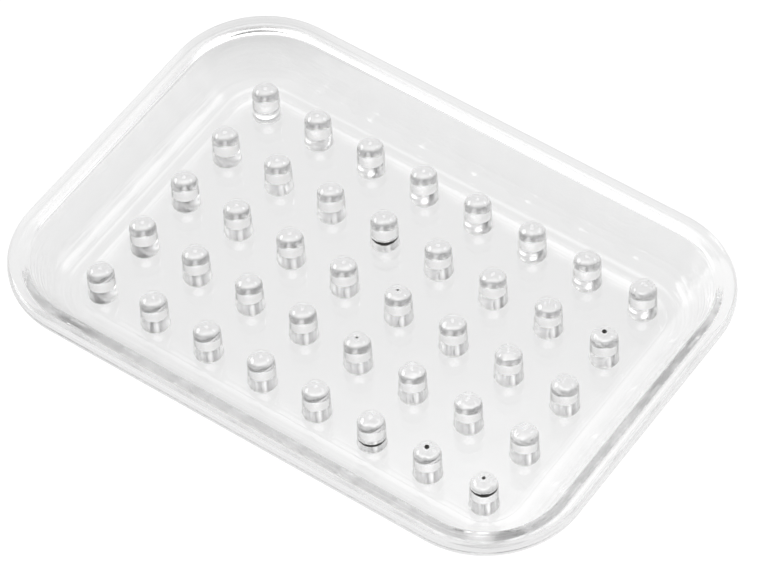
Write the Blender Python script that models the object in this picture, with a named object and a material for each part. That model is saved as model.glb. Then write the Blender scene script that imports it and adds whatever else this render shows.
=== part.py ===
"""A clear moulded soap dish: a shallow tray with a flared wall and a rounded lip, and round-topped pegs in rows
that hold the soap off the floor so that water drains away under it.

The dish lies along X, with the middle of its flat underside at the origin and the pegs pointing up Z. Each peg
has a short spigot under it, which sits in a blind socket in the tray's floor. Sizes are in metres.
"""

import math

import bmesh
import bpy
from mathutils import Matrix, Vector

# Tray, over its lip
tray_length = 0.138
tray_width = 0.097
tray_height = 0.0145
corner_radius = 0.022
least_corner_radius = 0.002

# Tray, floor and wall
floor_thickness = 0.003
wall_thickness = 0.0026
wall_foot_inset = 0.0087
wall_foot_radius = 0.0097
cove_radius = 0.004

# Lip round the top of the wall
lip_thickness = 0.0034
lip_overhang = 0.003
lip_outer_radius = 0.0016
lip_under_radius = 0.0012
lip_inner_radius = 0.0022
lip_root_radius = 0.0008

# Pegs
peg_height = 0.009
peg_tip_diameter = 0.0059
peg_base_diameter = 0.0062
peg_fillet = 0.0002
peg_pitch_along = 0.0138
peg_pitch_across = 0.0147
peg_margin = 0.002

# Spigot under each peg, and the socket that it sits in
spigot_diameter = 0.0036
socket_skin = 0.0011
seat_gap = 0.0003
cut_overrun = 0.001

# Facets
corner_steps = 8
bend_steps = 4
peg_sides = 12
dome_steps = 4
longest_fillet_share = 0.48
merge_share = 0.01


def empty_scene():
    """Removes whatever the scene holds."""
    for obj in list(bpy.data.objects):
        bpy.data.objects.remove(obj)


def clear_plastic():
    """Clear polystyrene with a polished surface."""
    material = bpy.data.materials.new("clear_polystyrene")
    material.use_nodes = True
    shader = material.node_tree.nodes["Principled BSDF"]
    shader.inputs["Base Color"].default_value = (0.9, 0.91, 0.92, 1.0)
    shader.inputs["Roughness"].default_value = 0.04
    shader.inputs["Metallic"].default_value = 0.0
    shader.inputs["IOR"].default_value = 1.59
    shader.inputs["Transmission Weight"].default_value = 1.0
    return material


def add_object(name, mesh, place=(0, 0, 0)):
    """A mesh object in the scene, at this place."""
    obj = bpy.data.objects.new(name, mesh)
    obj.location = place
    bpy.context.scene.collection.objects.link(obj)
    return obj


def mesh_from(name, bm, material=None):
    """Turns the bmesh into a smooth shaded mesh whose faces point outwards."""
    bmesh.ops.recalc_face_normals(bm, faces=bm.faces)
    mesh = bpy.data.meshes.new(name)
    bm.to_mesh(mesh)
    bm.free()
    if material:
        mesh.materials.append(material)
    mesh.shade_smooth()
    mesh.set_sharp_from_angle(angle=math.radians(40))
    return mesh


def arc_at(corner, before, after, radius, steps):
    """The points of an arc of this radius that rounds a corner, kept within its share of both sides."""
    back = (before - corner).normalized()
    on = (after - corner).normalized()
    half_turn = (math.pi - back.angle(on)) / 2
    room = longest_fillet_share * min((before - corner).length, (after - corner).length)
    reach = min(radius * math.tan(half_turn), room)
    centre = corner + (back + on).normalized() * reach / math.sin(half_turn)
    start = corner + back * reach - centre
    end = corner + on * reach - centre
    turn = 2 * half_turn
    points = []
    for step in range(steps + 1):
        done = turn * step / steps
        points.append(centre + (start * math.sin(turn - done) + end * math.sin(done)) / math.sin(turn))
    return points


def wall_slope():
    """How far the wall leans in for each unit of height that it goes down, from under the lip to its foot."""
    return (wall_foot_inset - lip_overhang) / (tray_height - lip_thickness)


def wall_inset(height):
    """How far the wall's outer face lies in from the lip's edge at this height above the underside."""
    return wall_foot_inset - height * wall_slope()


def wall_section():
    """The cross-section from under the floor, round the lip and back to the floor's top, as (inset, height)."""
    across_wall = wall_thickness * math.hypot(1, wall_slope())
    under_lip = tray_height - lip_thickness
    middle = tray_width / 2
    corners = [
        (Vector((middle, 0)), 0),
        (Vector((wall_inset(0), 0)), wall_foot_radius),
        (Vector((lip_overhang, under_lip)), lip_root_radius),
        (Vector((0, under_lip)), lip_under_radius),
        (Vector((0, tray_height)), lip_outer_radius),
        (Vector((wall_inset(tray_height) + across_wall, tray_height)), lip_inner_radius),
        (Vector((wall_inset(floor_thickness) + across_wall, floor_thickness)), cove_radius),
        (Vector((middle, floor_thickness)), 0),
    ]
    points = []
    for at in range(1, len(corners) - 1):
        corner, radius = corners[at]
        points += arc_at(corner, corners[at - 1][0], corners[at + 1][0], radius, bend_steps)
    return points


def outline_at(inset):
    """A rounded rectangle that lies this far inside the lip's edge."""
    radius = max(corner_radius - inset, least_corner_radius)
    along = tray_length / 2 - inset - radius
    across = tray_width / 2 - inset - radius
    points = []
    for quarter, (side_x, side_y) in enumerate(((1, 1), (-1, 1), (-1, -1), (1, -1))):
        for step in range(corner_steps + 1):
            angle = math.radians(90) * (quarter + step / corner_steps)
            points.append((side_x * along + radius * math.cos(angle), side_y * across + radius * math.sin(angle)))
    return points


def tray_mesh(material):
    """One outline for each point of the cross-section, bridged in turn, with the floor closed above and below."""
    bm = bmesh.new()
    rings = []
    for inset, height in wall_section():
        rings.append([bm.verts.new((x, y, height)) for x, y in outline_at(inset)])
    for lower, upper in zip(rings, rings[1:]):
        for at in range(len(lower)):
            after = (at + 1) % len(lower)
            bm.faces.new((lower[at], lower[after], upper[after], upper[at]))
    bm.faces.new(reversed(rings[0]))
    bm.faces.new(rings[-1])
    return mesh_from("tray", bm, material)


def lathe(name, profile, material=None):
    """Turns a profile of (radius, height) points, which starts and ends on the axis, about Z."""
    bm = bmesh.new()
    verts = [bm.verts.new((radius, 0, height)) for radius, height in profile]
    edges = [bm.edges.new(pair) for pair in zip(verts, verts[1:])]
    bmesh.ops.spin(
        bm, geom=verts + edges, cent=(0, 0, 0), axis=(0, 0, 1), angle=math.radians(360), steps=peg_sides,
        use_merge=True,
    )
    bmesh.ops.remove_doubles(bm, verts=bm.verts, dist=seat_gap * merge_share)
    return mesh_from(name, bm, material)


def peg_profile():
    """Dome, tapered shank, a small flare at the foot and the spigot, from the top down, above the floor's top."""
    tip_radius = peg_tip_diameter / 2
    base_radius = peg_base_diameter / 2
    dome_centre = peg_height - tip_radius
    points = []
    for step in range(dome_steps + 1):
        angle = math.radians(90) * step / dome_steps
        points.append((tip_radius * math.sin(angle), dome_centre + tip_radius * math.cos(angle)))
    points += [
        (base_radius, seat_gap + peg_fillet),
        (base_radius + peg_fillet, seat_gap),
        (spigot_diameter / 2, seat_gap),
        (spigot_diameter / 2, -spigot_length()),
        (0, -spigot_length()),
    ]
    return points


def socket_depth():
    """From the floor's top down to the skin that is left under the socket."""
    return floor_thickness - socket_skin


def spigot_length():
    """From the floor's top down, with the seat's gap left under it."""
    return socket_depth() - seat_gap


def socket_profile():
    """A blind socket, from over the floor down to its bottom."""
    radius = spigot_diameter / 2 + seat_gap
    return [(0, cut_overrun), (radius, cut_overrun), (radius, -socket_depth()), (0, -socket_depth())]


def peg_grid():
    """Row and column numbers and the place of each peg: as many as fit on the flat floor, centred on it."""
    flat_inset = wall_section()[-1].x
    foot = peg_base_diameter + 2 * (peg_fillet + peg_margin)
    columns = 1 + int((tray_length - 2 * flat_inset - foot) / peg_pitch_along)
    rows = 1 + int((tray_width - 2 * flat_inset - foot) / peg_pitch_across)
    for row in range(rows):
        for column in range(columns):
            x = (column - (columns - 1) / 2) * peg_pitch_along
            y = ((rows - 1) / 2 - row) * peg_pitch_across
            yield row + 1, column + 1, (x, y, floor_thickness)


def cut_sockets(tray, places):
    """One cutter with a plug at each peg's place, taken out of the tray's floor."""
    plug = lathe("socket_plug", socket_profile())
    bm = bmesh.new()
    for place in places:
        bm.from_mesh(plug)
        bmesh.ops.transform(bm, matrix=Matrix.Translation(place), verts=bm.verts[-len(plug.vertices):])
    cutter = add_object("socket_cutter", mesh_from("socket_cutter", bm))
    cutter.hide_render = True
    cutter.display_type = "WIRE"
    cut = tray.modifiers.new("sockets", "BOOLEAN")
    cut.operation = "DIFFERENCE"
    cut.solver = "EXACT"
    cut.object = cutter


def build():
    """The tray with a socket under each peg, and the pegs in their sockets."""
    empty_scene()
    plastic = clear_plastic()
    tray = add_object("tray", tray_mesh(plastic))
    peg_mesh = lathe("peg", peg_profile(), plastic)
    pegs = list(peg_grid())
    for row, column, place in pegs:
        add_object(f"peg_row{row}_no{column}", peg_mesh, place)
    cut_sockets(tray, [place for _, _, place in pegs])


build()
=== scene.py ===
"""The looks of a clear moulded soap dish: a shallow tray with a flared wall and a rounded lip, and rows of
round-topped pegs that keep the soap off its floor. All is in metres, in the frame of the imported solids."""

import math

import bpy
import numpy as np
from mathutils import Matrix, Vector
from mathutils.geometry import delaunay_2d_cdt


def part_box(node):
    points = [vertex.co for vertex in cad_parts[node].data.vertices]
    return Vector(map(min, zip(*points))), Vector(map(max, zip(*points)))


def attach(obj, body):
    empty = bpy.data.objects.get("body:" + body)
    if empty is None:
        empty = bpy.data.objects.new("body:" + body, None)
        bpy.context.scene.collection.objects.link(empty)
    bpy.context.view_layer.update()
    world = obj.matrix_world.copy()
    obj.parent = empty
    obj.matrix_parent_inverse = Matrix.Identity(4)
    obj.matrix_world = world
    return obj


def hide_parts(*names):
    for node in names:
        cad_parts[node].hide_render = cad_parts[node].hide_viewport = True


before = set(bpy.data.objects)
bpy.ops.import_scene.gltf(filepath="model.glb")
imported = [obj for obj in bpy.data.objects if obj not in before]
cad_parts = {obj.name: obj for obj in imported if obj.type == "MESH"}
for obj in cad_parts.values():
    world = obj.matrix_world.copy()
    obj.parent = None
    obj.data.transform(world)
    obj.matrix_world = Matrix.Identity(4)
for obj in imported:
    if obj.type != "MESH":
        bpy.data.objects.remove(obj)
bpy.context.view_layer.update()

# Tray
# One shallow moulding of clear general-purpose polystyrene: a flat floor, a cove, and a wall that flares
# out to a thick rounded lip. It comes glossy from a polished mould, which leaves faint ripples along the
# wall and a thin raised line round the floor. It is about 3 mm thick, so its edges bend what is seen.

tray_low, tray_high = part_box("tray")
tray_length = tray_high.x - tray_low.x
tray_width = tray_high.y - tray_low.y
tray_height = tray_high.z - tray_low.z
corner_radius = 0.022
least_corner_radius = 0.002
floor_thickness = 0.003
wall_thickness = 0.0026
wall_foot_inset = 0.0087
wall_foot_radius = 0.0097
lip_thickness = 0.0034
lip_overhang = 0.003
lip_outer_radius = 0.0016
lip_under_radius = 0.0012
lip_inner_radius = 0.0022
lip_root_radius = 0.0008
cove_radius = 0.004
edge_line_width = 0.00035
edge_line_height = 0.00008
ripple_depth = 0.00001
ripple_lengths = (0.0008, 0.0013, 0.0024)
ripple_fade = 0.004
longest_facet = 0.0003
least_arc_facets = 8
edge_line_facets = 8
corner_facets = 32
side_facets = 60

peg_names = sorted(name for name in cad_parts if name.startswith("peg_"))
peg_places = np.array([(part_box(name)[0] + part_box(name)[1]) / 2 for name in peg_names])[:, :2]
foot_radius = 0.0033
foot_facets = 64
socket_radius = 0.0021
socket_depth = 0.0019
socket_facets = 32
hole_edge_share = 0.999
same_point = 1e-9

polystyrene_ior = 1.59
loss_per_metre = 2.2
flow_detail = 1.5
flow_fine_share = 0.4


def linear(code):
    """An sRGB hex colour as linear red, green, blue and alpha."""
    shares = np.array([int(code[at:at + 2], 16) for at in (0, 2, 4)]) / 255
    low = shares / 12.92
    high = ((shares + 0.055) / 1.055) ** 2.4
    return (*np.where(shares <= 0.04045, low, high).tolist(), 1.0)


def node(tree, kind, settings=(), links=()):
    """Adds one node, sets its properties and input values, and links its inputs to other nodes' outputs."""
    made = tree.nodes.new(kind)
    for name, value in dict(settings).items():
        if isinstance(name, int) or name in made.inputs:
            made.inputs[name].default_value = value
        else:
            setattr(made, name, value)
    for name, source in dict(links).items():
        tree.links.new(source, made.inputs[name])
    return made


def new_tree(name):
    """A material with an empty node tree."""
    material = bpy.data.materials.new(name)
    material.use_nodes = True
    material.node_tree.nodes.clear()
    return material, material.node_tree


def close(tree, surface):
    """Joins the surface and the slight loss of light inside the plastic to the output. Light that is caught
    between the faces goes a long way in it, so even this slight loss turns it to an even grey."""
    inside = node(tree, "ShaderNodeVolumeAbsorption", {"Color": linear("000000"), "Density": loss_per_metre})
    node(tree, "ShaderNodeOutputMaterial", {}, {"Surface": surface, "Volume": inside.outputs["Volume"]})


def clear_polystyrene(name, roughness, flow_length, flow_height):
    """Moulded clear polystyrene: colourless and hard, as glossy as the mould is polished, and faintly wavy
    where the melt flowed. The waves are a smooth noise, flow_length long and flow_height deep."""
    material, tree = new_tree(name)
    place = node(tree, "ShaderNodeTexCoord")
    waves = node(
        tree,
        "ShaderNodeTexNoise",
        {"Scale": 1 / flow_length, "Detail": flow_detail, "Roughness": flow_fine_share},
        {"Vector": place.outputs["Object"]},
    )
    bump = node(
        tree,
        "ShaderNodeBump",
        {"Strength": 1.0, "Distance": flow_height},
        {"Height": waves.outputs["Fac"]},
    )
    plastic = node(
        tree,
        "ShaderNodeBsdfPrincipled",
        {
            "Base Color": linear("FDFDFD"),
            "Roughness": roughness,
            "IOR": polystyrene_ior,
            "Transmission Weight": 1.0,
        },
        {"Normal": bump.outputs["Normal"]},
    )
    close(tree, plastic.outputs["BSDF"])
    return material


def bonded_seat():
    """The faces where a peg is one with the floor: no light turns or is lost there, so nothing shows."""
    material, tree = new_tree("bonded_seat")
    open_face = node(tree, "ShaderNodeBsdfTransparent", {"Color": linear("FFFFFF")})
    close(tree, open_face.outputs["BSDF"])
    return material


def rounded_path(corners, radii):
    """A polyline whose corners are arcs. Each arc's centre lies on the corner's bisector, radius / sin(half
    the angle) away, and the arcs and the straight runs are cut into facets of the longest length."""
    corners = np.array(corners, float)
    path = [corners[:1]]
    for at, radius in enumerate(radii, 1):
        back = corners[at - 1] - corners[at]
        on = corners[at + 1] - corners[at]
        back /= np.hypot(*back)
        on /= np.hypot(*on)
        half = math.acos(np.clip(back @ on, -1, 1)) / 2
        centre = corners[at] + (back + on) / np.hypot(*(back + on)) * radius / math.sin(half)
        start = corners[at] + back * radius / math.tan(half) - centre
        end = corners[at] + on * radius / math.tan(half) - centre
        turn = math.pi - 2 * half
        facets = max(least_arc_facets, math.ceil(radius * turn / longest_facet))
        done = np.linspace(0, turn, facets + 1)[:, None]
        arc = centre + (start * np.sin(turn - done) + end * np.sin(done)) / math.sin(turn)
        gap = np.hypot(*(arc[0] - path[-1][-1]))
        shares = np.linspace(0, 1, max(2, math.ceil(gap / longest_facet) + 1))[1:-1, None]
        path += [path[-1][-1] + shares * (arc[0] - path[-1][-1]), arc]
    return np.concatenate(path + [corners[-1:]])


def rippled(path):
    """The path with the faint lines that polishing leaves along a mould: three cosine waves across it,
    which fade out towards its ends."""
    run = np.concatenate([[0], np.cumsum(np.hypot(*np.diff(path, axis=0).T))])
    way = np.gradient(path, axis=0)
    way /= np.hypot(*way.T)[:, None]
    share = np.clip(np.minimum(run, run[-1] - run) / ripple_fade, 0, 1)
    wave = sum(np.cos(2 * math.pi * run / length) for length in ripple_lengths)
    return path + np.stack([way[:, 1], -way[:, 0]], -1) * (ripple_depth * share * wave)[:, None]


def raised_line(inset, height):
    """A low ridge on the floor, one cosine wave from trough to trough, as (inset, height) past its start."""
    along = np.linspace(0, 1, edge_line_facets + 1)[1:]
    rise = edge_line_height * (1 - np.cos(2 * math.pi * along)) / 2
    return np.stack([inset + edge_line_width * along, height + rise], -1)


def tray_section():
    """From the underside's flat, round the foot of the wall, the lip and the cove, to the floor's flat top,
    which starts with the thin raised line where the mould's floor plate meets its frame."""
    slope = (wall_foot_inset - lip_overhang) / (tray_height - lip_thickness)
    across_wall = wall_thickness * math.hypot(1, slope)
    top_inset = wall_foot_inset - tray_height * slope + across_wall
    cove_inset = wall_foot_inset - floor_thickness * slope + across_wall
    under_lip = tray_height - lip_thickness
    corners = [
        (wall_foot_inset + wall_foot_radius, 0),
        (wall_foot_inset, 0),
        (lip_overhang, under_lip),
        (0, under_lip),
        (0, tray_height),
        (top_inset, tray_height),
        (cove_inset, floor_thickness),
        (cove_inset + cove_radius, floor_thickness),
    ]
    radii = [
        wall_foot_radius,
        lip_root_radius,
        lip_under_radius,
        lip_outer_radius,
        lip_inner_radius,
        cove_radius,
    ]
    path = rippled(rounded_path(corners, radii))
    return np.concatenate([path, raised_line(*path[-1])])


def rounded_rectangles(inset):
    """For each inset, a rounded rectangle that far inside the lip's edge: four quarter arcs about centres
    that move in as the inset passes the corner's radius, joined by straight sides cut into equal facets."""
    radius = np.maximum(corner_radius - inset, least_corner_radius)
    centre = np.stack([tray_length / 2 - inset - radius, tray_width / 2 - inset - radius], -1)
    side = np.array([(1, 1), (-1, 1), (-1, -1), (1, -1)])
    angle = np.radians(90) * (np.arange(4)[:, None] + np.linspace(0, 1, corner_facets + 1))
    round_the_corner = np.stack([np.cos(angle), np.sin(angle)], -1)
    arcs = side[None, :, None] * centre[:, None, None] + radius[:, None, None, None] * round_the_corner
    shares = np.linspace(0, 1, side_facets + 1)[1:-1, None]
    starts = np.roll(arcs, -1, axis=1)[:, :, :1]
    sides = arcs[:, :, -1:] * (1 - shares) + starts * shares
    return np.concatenate([arcs, sides], 2).reshape(len(inset), -1, 2)


def strips(rings, around):
    """Quads between neighbouring rings of a closed grid, as indices into the rings laid end to end."""
    ring, at = np.meshgrid(np.arange(rings - 1), np.arange(around), indexing="ij")
    after = (at + 1) % around
    quads = [ring * around + at, ring * around + after, (ring + 1) * around + after, (ring + 1) * around + at]
    return np.stack(quads, -1).reshape(-1, 4)


def circle(radius, facets):
    """Points of a circle about the origin, anticlockwise."""
    angle = np.linspace(0, 2 * math.pi, facets, endpoint=False)
    return radius * np.stack([np.cos(angle), np.sin(angle)], -1)


def piece_from(name, points, faces, materials, slots=None):
    """A smooth shaded mesh object at the origin, from arrays of points and faces."""
    mesh = bpy.data.meshes.new(name)
    mesh.from_pydata(points.tolist(), [], faces)
    for material in materials:
        mesh.materials.append(material)
    if slots is not None:
        mesh.polygons.foreach_set("material_index", np.asarray(slots, np.int32))
    mesh.polygons.foreach_set("use_smooth", np.ones(len(mesh.polygons), bool))
    mesh.update()
    piece = bpy.data.objects.new(name, mesh)
    bpy.context.scene.collection.objects.link(piece)
    return piece


def floor_top(outline):
    """The floor's flat top inside outline, as triangles, with a round patch for each peg's foot and a hole
    in it for its spigot. Patches are marked 1 and the rest 0. The points are the outline's, the feet's,
    then the holes', in the order of the pegs."""
    rings = [outline]
    rings += list(peg_places[:, None] + circle(foot_radius, foot_facets))
    rings += list(peg_places[:, None] + circle(socket_radius, socket_facets))
    edges = []
    start = 0
    for ring in rings:
        at = np.arange(len(ring))
        edges.append(start + np.stack([at, np.roll(at, -1)], -1))
        start += len(ring)
    points = [Vector(point) for point in np.concatenate(rings)]
    made = delaunay_2d_cdt(points, np.concatenate(edges).tolist(), [], 1, same_point)
    points = np.array([tuple(point) for point in made[0]])
    faces = np.array(made[2])
    middle = points[faces].mean(1)
    from_peg = np.hypot(*(middle[:, None] - peg_places).transpose(2, 0, 1)).min(1)
    past_hole = from_peg > socket_radius * hole_edge_share
    return points, faces[past_hole], (from_peg[past_hole] < foot_radius).astype(int)


def tray_surface():
    """The section carried round the outline, then the underside's flat, the floor's top and the sockets."""
    section = tray_section()
    outlines = rounded_rectangles(section[:, 0])
    rings, around = outlines.shape[:2]
    height = np.broadcast_to(section[:, 1][:, None, None], (rings, around, 1))
    points = [np.concatenate([outlines, height], -1).reshape(-1, 3)]
    faces = strips(rings, around).tolist()
    faces.append(list(range(around))[::-1])
    slots = [0] * len(faces)
    flat, triangles, patch = floor_top(outlines[-1])
    # The flat's first points are the outline's own, so those corners use the section's last ring
    count = rings * around
    index = np.arange(len(flat)) + count - around
    points.append(np.column_stack([flat[around:], np.full(len(flat) - around, floor_thickness)]))
    faces += index[triangles].tolist()
    slots += patch.tolist()
    count += len(flat) - around
    for number in range(len(peg_places)):
        start = around + len(peg_places) * foot_facets + number * socket_facets
        edge = np.arange(start, start + socket_facets)
        top = index[edge]
        bottom = count + np.arange(socket_facets)
        points.append(np.column_stack([flat[edge], np.full(socket_facets, floor_thickness - socket_depth)]))
        faces += np.stack([top, bottom, np.roll(bottom, -1), np.roll(top, -1)], -1).tolist()
        faces.append(bottom.tolist())
        slots += [1] * (socket_facets + 1)
        count += socket_facets
    return np.concatenate(points), faces, slots


tray_plastic = clear_polystyrene(
    "clear_tray_polystyrene",
    roughness=0.09,
    flow_length=0.011,
    flow_height=0.00005,
)
seat = bonded_seat()
points, faces, slots = tray_surface()
tray = piece_from("tray_moulding", points, faces, [tray_plastic, seat], slots)
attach(tray, "root")
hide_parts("tray")

# Pegs
# Forty solid posts in rows, of the tray's plastic, each with a half-round top, a slight draft, a small
# fillet at its foot and a spigot under it in the floor. As they set, their domes rippled, the most so far
# from the gate, and a few sank in the middle. Each sink has a dark speck in its bottom, and three posts
# carry a crescent of painted shade across their side towards the camera.

peg_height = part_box(peg_names[0])[1].z - floor_thickness
tip_radius = 0.00295
base_radius = 0.0031
foot_fillet = foot_radius - base_radius
spigot_radius = 0.0018
spigot_length = 0.0016
seat_clearance = 0.00001
peg_facets = 80
dome_end = 88
dome_rings = 36
shank_rings = 39
fillet_rings = 7
dome_ripples = 5
calm_dome = 0.000003
uneven_dome = 0.000034
shortest_ripple = 0.0013
longest_ripple = 0.0034
sink_radius = 0.0005
sinks = {
    "peg_row2_no8": 0.0006,
    "peg_row3_no5": 0.00025,
    "peg_row4_no5": 0.0003,
    "peg_row5_no7": 0.0006,
    "peg_row5_no8": 0.0004,
}
speck_radius = 0.00055
# Crescents of painted shade across a post's side towards the camera: height over the floor, half width
painted_shade_crescents = {
    "peg_row2_no4": (0.0027, 0.0005),
    "peg_row5_no6": (0.0025, 0.0004),
    "peg_row5_no8": (0.0066, 0.0004),
}
crescent_reach = math.radians(80)
crescent_bearing = math.radians(-53)


def dark_speck_and_painted_shade():
    """Dark plastic for the specks in the sinks and the crescents of painted shade on the posts."""
    material, tree = new_tree("painted_shade_and_speck_polystyrene")
    dark = node(tree, "ShaderNodeBsdfPrincipled", {"Base Color": linear("2A2826"), "Roughness": 0.4})
    node(tree, "ShaderNodeOutputMaterial", {}, {"Surface": dark.outputs["BSDF"]})
    return material


def peg_section():
    """From the dome's top down its quarter arc, the tapered shank and the fillet, then under the foot and
    round the spigot. The first three of the four stretches are polished, and the last one is bonded."""
    up = np.radians(np.linspace(0, dome_end, dome_rings))
    dome = np.stack([tip_radius * np.sin(up), peg_height - tip_radius + tip_radius * np.cos(up)], -1)
    draft = np.linspace(0, 1, shank_rings + 1)[1:, None]
    shank = np.array([tip_radius, peg_height - tip_radius]) * (1 - draft) + draft * [base_radius, foot_fillet]
    down = np.radians(np.linspace(0, 90, fillet_rings + 1))[1:]
    fillet = np.stack([base_radius + foot_fillet * (1 - np.cos(down)), foot_fillet * (1 - np.sin(down))], -1)
    under = [(spigot_radius, 0), (spigot_radius, -spigot_length), (0, -spigot_length)]
    polished = len(dome) + len(shank) + len(fillet)
    return np.concatenate([dome, shank, fillet, under]) + [0, floor_thickness + seat_clearance], polished


def turned(section, place):
    """A closed profile turned about the upright axis at place: rings of points, with one point at each
    pole. Returned are the points, the quads between the rings, and the triangles round the two poles."""
    rings = circle(1, peg_facets)[None] * section[1:-1, 0][:, None, None]
    height = np.broadcast_to(section[1:-1, 1][:, None, None], (*rings.shape[:2], 1))
    body = np.concatenate([rings, height], -1).reshape(-1, 3)
    poles = [(0, 0, section[0, 1]), (0, 0, section[-1, 1])]
    points = np.concatenate([body, poles]) + [*place, 0]
    quads = strips(len(section) - 2, peg_facets)[:, ::-1]
    at = np.arange(peg_facets)
    after = np.roll(at, -1)
    last = len(body) - peg_facets
    top = np.stack([at, after, np.full(peg_facets, len(body))], -1)
    bottom = np.stack([last + after, last + at, np.full(peg_facets, len(body) + 1)], -1)
    return points, quads, np.concatenate([top, bottom])


def cooled(points, place, depth, sink, chance):
    """The marks of plastic that shrank as it set: cosine waves over the dome, each depth deep and on a
    bearing of its own, and a bell-shaped sink down its middle. Both fade out down to the dome's foot."""
    across = points[:, :2] - place
    up_dome = np.clip((points[:, 2] - floor_thickness - peg_height) / tip_radius + 1, 0, 1)
    drop = sink * np.exp(-(across ** 2).sum(1) / sink_radius ** 2)
    for _ in range(dome_ripples):
        bearing, start = chance.uniform(0, 2 * math.pi, 2)
        along = across @ [math.cos(bearing), math.sin(bearing)]
        drop += depth * np.cos(2 * math.pi * along / chance.uniform(shortest_ripple, longest_ripple) + start)
    points[:, 2] -= up_dome * drop
    return points


def marked(name, middle):
    """True for each face, given by its middle from the foot's, that lies in one of the dark marks on this
    peg: a dark speck in the bottom of its sink, and a crescent of painted shade that crosses the post's
    front, the side towards the camera, at a height over the floor and narrows towards its ends as a cosine
    does."""
    from_axis = np.hypot(middle[:, 0], middle[:, 1])
    speck_reach = speck_radius * sinks.get(name, 0) / max(sinks.values())
    speck = (middle[:, 2] > peg_height / 2) & (from_axis < speck_reach)
    height, width = painted_shade_crescents.get(name, (0, 0))
    turn = np.arctan2(middle[:, 1], middle[:, 0]) - crescent_bearing
    turn = np.abs((turn + math.pi) % (2 * math.pi) - math.pi)
    reach = width * np.cos(np.clip(turn / crescent_reach, 0, 1) * math.pi / 2)
    return speck | (np.abs(middle[:, 2] - height) < reach) & (from_axis > spigot_radius)


peg_plastic = clear_polystyrene(
    "clear_peg_polystyrene",
    roughness=0.03,
    flow_length=0.004,
    flow_height=0.000006,
)
speck_and_painted_shade = dark_speck_and_painted_shade()
section, polished = peg_section()
rightmost = peg_places[:, 0].max()
for number, (name, place) in enumerate(zip(peg_names, peg_places)):
    points, quads, triangles = turned(section, place)
    far_from_gate = ((place[0] / rightmost + 1) / 2) ** 2
    depth = calm_dome + (uneven_dome - calm_dome) * far_from_gate
    points = cooled(points, place, depth, sinks.get(name, 0), np.random.default_rng(number))
    # Each strip lies between the section's next two points, and is bonded once both are under the foot
    strip = np.repeat(np.arange(len(section) - 3), peg_facets)
    slots = np.concatenate([strip >= polished - 2, np.zeros(peg_facets), np.ones(peg_facets)])
    middle = np.concatenate([points[quads].mean(1), points[triangles].mean(1)])
    slots[marked(name, middle - [*place, floor_thickness])] = 2
    faces = quads.tolist() + triangles.tolist()
    peg = piece_from(name + "_post", points, faces, [peg_plastic, seat, speck_and_painted_shade], slots)
    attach(peg, "root")
    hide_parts(name)

# Camera
# It looks down over the dish's front right corner through a long lens, from far enough that the near and
# far pegs look alike, and is turned a little about its own line of sight.

camera_azimuth = math.radians(37.10)
camera_elevation = math.radians(52.35)
camera_roll = math.radians(-2.76)
camera_distance = 0.899
camera_aside = (-0.00278, -0.00459)
lens_pixels = 4289
image_width = 771
sensor_width = 36.0
farthest_seen = 10.0


def camera_axes():
    """The camera's right, up and backward directions: azimuth about Z from the front, elevation over the
    table, then the roll about the line of sight."""
    back = Vector((
        math.sin(camera_azimuth) * math.cos(camera_elevation),
        -math.cos(camera_azimuth) * math.cos(camera_elevation),
        math.sin(camera_elevation),
    ))
    level = Vector((math.cos(camera_azimuth), math.sin(camera_azimuth), 0))
    steep = back.cross(level)
    right = level * math.cos(camera_roll) + steep * math.sin(camera_roll)
    up = steep * math.cos(camera_roll) - level * math.sin(camera_roll)
    return right, up, back


right, up, back = camera_axes()
lens = bpy.data.cameras.new("camera")
lens.sensor_width = sensor_width
lens.lens = lens_pixels / image_width * sensor_width
lens.clip_end = farthest_seen
camera = bpy.data.objects.new("camera", lens)
bpy.context.scene.collection.objects.link(camera)
turn = Matrix((right, up, back)).transposed().to_4x4()
spot = back * camera_distance - right * camera_aside[0] - up * camera_aside[1]
camera.matrix_world = Matrix.Translation(spot) @ turn
bpy.context.scene.camera = camera

# Stage
# A pale table, which holds the dish's faint shadow and looks plain white past it. A lift is light it gives
# besides its paper's. Seen through the plastic it is light grey, lighter under the wall's foot at the right
# and at the front right corner, and darker past the near and right rims, at the back left and further out.

table_gap = 0.0003
table_size = 6.0
table_colour = "5C5C5C"
lift_for_camera = 0.97
lift_in_plastic = 0.79
near_lift = 0.08
near_way = (0.6, -0.8, 0)
near_from = 0.01
near_to = 0.06
wall_foot_lift = 0.09
wall_foot_from = 0.0535
wall_foot_to = 0.0545
inside_near_rim = 0.0125
past_near_rim = 0.002
past_right_rim = 0.006
# Each shade is a way over the table, where it starts and ends along that way, and what it takes off the lift
shades = {
    "near rim": ((0, -1, 0), -tray_low.y - inside_near_rim, -tray_low.y + past_near_rim, 0.50),
    "right rim": ((1, 0, 0), tray_high.x, tray_high.x + past_right_rim, 0.10),
    "back left corner": ((-0.6, 0.8, 0), 0.066, 0.078, 0.12),
}
surround_from = 0.09
surround_to = 0.25
surround = 0.40

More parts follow.
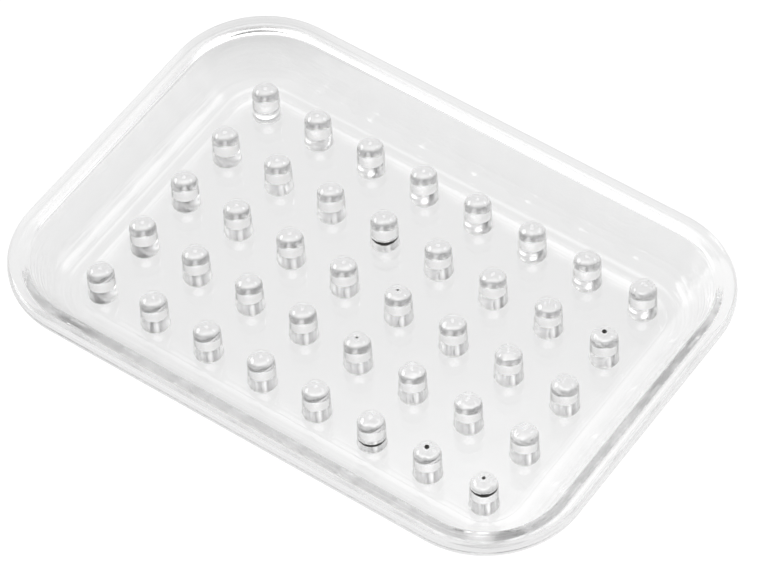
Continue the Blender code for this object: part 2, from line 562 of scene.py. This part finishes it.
material, tree = new_tree("pale_table")
path = node(tree, "ShaderNodeLightPath")
in_plastic = node(
    tree,
    "ShaderNodeMath",
    {"operation": "MAXIMUM"},
    {0: path.outputs["Is Glossy Ray"], 1: path.outputs["Is Transmission Ray"]},
)
place = node(tree, "ShaderNodeTexCoord").outputs["Object"]
along = node(tree, "ShaderNodeSeparateXYZ", {}, {"Vector": place}).outputs["X"]
nearness = node(tree, "ShaderNodeVectorMath", {"operation": "DOT_PRODUCT", 1: near_way}, {0: place})
beside = node(
    tree,
    "ShaderNodeMapRange",
    {
        "From Min": wall_foot_from,
        "From Max": wall_foot_to,
        "To Min": lift_in_plastic,
        "To Max": lift_in_plastic + wall_foot_lift,
    },
    {"Value": along},
)
near = node(
    tree,
    "ShaderNodeMapRange",
    {"From Min": near_from, "From Max": near_to, "To Min": 0, "To Max": near_lift},
    {"Value": nearness.outputs["Value"]},
)
under = node(
    tree,
    "ShaderNodeMath",
    {"operation": "ADD"},
    {0: beside.outputs["Result"], 1: near.outputs["Result"]},
)
falls = []
for outwards, start, end, depth in shades.values():
    reach = node(tree, "ShaderNodeVectorMath", {"operation": "DOT_PRODUCT", 1: outwards}, {0: place})
    falls.append((reach, start, end, depth))
away = node(tree, "ShaderNodeVectorMath", {"operation": "LENGTH"}, {0: place})
falls.append((away, surround_from, surround_to, surround))
for reach, start, end, depth in falls:
    fall = node(
        tree,
        "ShaderNodeMapRange",
        {"From Min": start, "From Max": end, "To Min": 0, "To Max": depth},
        {"Value": reach.outputs["Value"]},
    )
    under = node(
        tree,
        "ShaderNodeMath",
        {"operation": "SUBTRACT", "use_clamp": True},
        {0: under.outputs["Value"], 1: fall.outputs["Result"]},
    )
lift = node(
    tree,
    "ShaderNodeMath",
    {"operation": "MULTIPLY"},
    {0: in_plastic.outputs["Value"], 1: under.outputs["Value"]},
)
lift = node(
    tree,
    "ShaderNodeMath",
    {"operation": "MULTIPLY_ADD", 1: lift_for_camera},
    {0: path.outputs["Is Camera Ray"], 2: lift.outputs["Value"]},
)
glow = node(tree, "ShaderNodeEmission", {"Color": linear("FFFFFF")}, {"Strength": lift.outputs["Value"]})
paper = node(tree, "ShaderNodeBsdfDiffuse", {"Color": linear(table_colour)})
both = node(tree, "ShaderNodeAddShader", {}, {0: glow.outputs["Emission"], 1: paper.outputs["BSDF"]})
node(tree, "ShaderNodeOutputMaterial", {}, {"Surface": both.outputs["Shader"]})
half = table_size / 2
corners = np.array([(-half, -half), (half, -half), (half, half), (-half, half)])
corners = np.column_stack([corners, np.full(len(corners), -table_gap)])
table = piece_from("table", corners, [(0, 1, 2, 3)], [material])

# Light
# A white room, darker low down and towards the camera. Soft boxes at the left and right draw two bright
# spots on each peg, each peg gathers the light of a wide one overhead on the table at its foot, and a black
# flag at the near right darkens the right wall.

room_low = 0.35
room_high = 0.90
room_edge = 0.18
level = Vector((math.cos(camera_azimuth), math.sin(camera_azimuth), 0))
towards = Vector((math.sin(camera_azimuth), -math.cos(camera_azimuth), 0))
sky = Vector((0, 0, 1))
# Each part grows from nothing to its full strength between two cosines of the angle from its aim
room_parts = {
    "left soft box": (level * -0.93 - towards * 0.18 + sky * 0.30, 0.94, 0.98, 3.6),
    "right soft box": (level * 0.84 - towards * 0.04 + sky * 0.55, 0.965, 0.99, 1.4),
    "overhead soft box": (towards * -0.31 + sky * 0.95, 0.945, 0.995, 2.2),
    "dark side towards the camera": (towards + sky * 0.15, 0.55, 0.90, -0.60),
    "black flag": (level * 0.75 + towards * 0.65 + sky * 0.12, 0.955, 0.985, -0.80),
}

world = bpy.data.worlds.new("studio")
bpy.context.scene.world = world
world.use_nodes = True
tree = world.node_tree
tree.nodes.clear()
way = node(tree, "ShaderNodeTexCoord").outputs["Generated"]
height = node(tree, "ShaderNodeSeparateXYZ", {}, {"Vector": way}).outputs["Z"]
light = node(
    tree,
    "ShaderNodeMapRange",
    {"interpolation_type": "SMOOTHSTEP", "From Max": room_edge, "To Min": room_low, "To Max": room_high},
    {"Value": height},
).outputs["Result"]
for aim, edge, full, strength in room_parts.values():
    nearness = node(
        tree,
        "ShaderNodeVectorMath",
        {"operation": "DOT_PRODUCT", 1: aim.normalized()},
        {0: way},
    )
    part = node(
        tree,
        "ShaderNodeMapRange",
        {"interpolation_type": "SMOOTHSTEP", "From Min": edge, "From Max": full, "To Max": strength},
        {"Value": nearness.outputs["Value"]},
    )
    sum_so_far = node(tree, "ShaderNodeMath", {"operation": "ADD"}, {0: light, 1: part.outputs["Result"]})
    light = sum_so_far.outputs["Value"]
light = node(tree, "ShaderNodeMath", {"operation": "MAXIMUM", 1: 0.0}, {0: light}).outputs["Value"]
path = node(tree, "ShaderNodeLightPath")
seen = node(
    tree,
    "ShaderNodeMix",
    {"data_type": "FLOAT", "B": 1.0},
    {"Factor": path.outputs["Is Camera Ray"], "A": light},
)
white = {"Color": linear("FFFFFF")}
backdrop = node(tree, "ShaderNodeBackground", white, {"Strength": seen.outputs["Result"]})
node(tree, "ShaderNodeOutputWorld", {}, {"Surface": backdrop.outputs["Background"]})

# Picture
# Tones are kept as they are, and light may turn many times in the plastic before it is given up, because
# what is caught between its faces still reaches the camera as grey.

most_turns = 160

scene = bpy.context.scene
scene.view_settings.view_transform = "Standard"
scene.cycles.max_bounces = most_turns
scene.cycles.transmission_bounces = most_turns
scene.cycles.glossy_bounces = most_turns
scene.cycles.transparent_max_bounces = most_turns
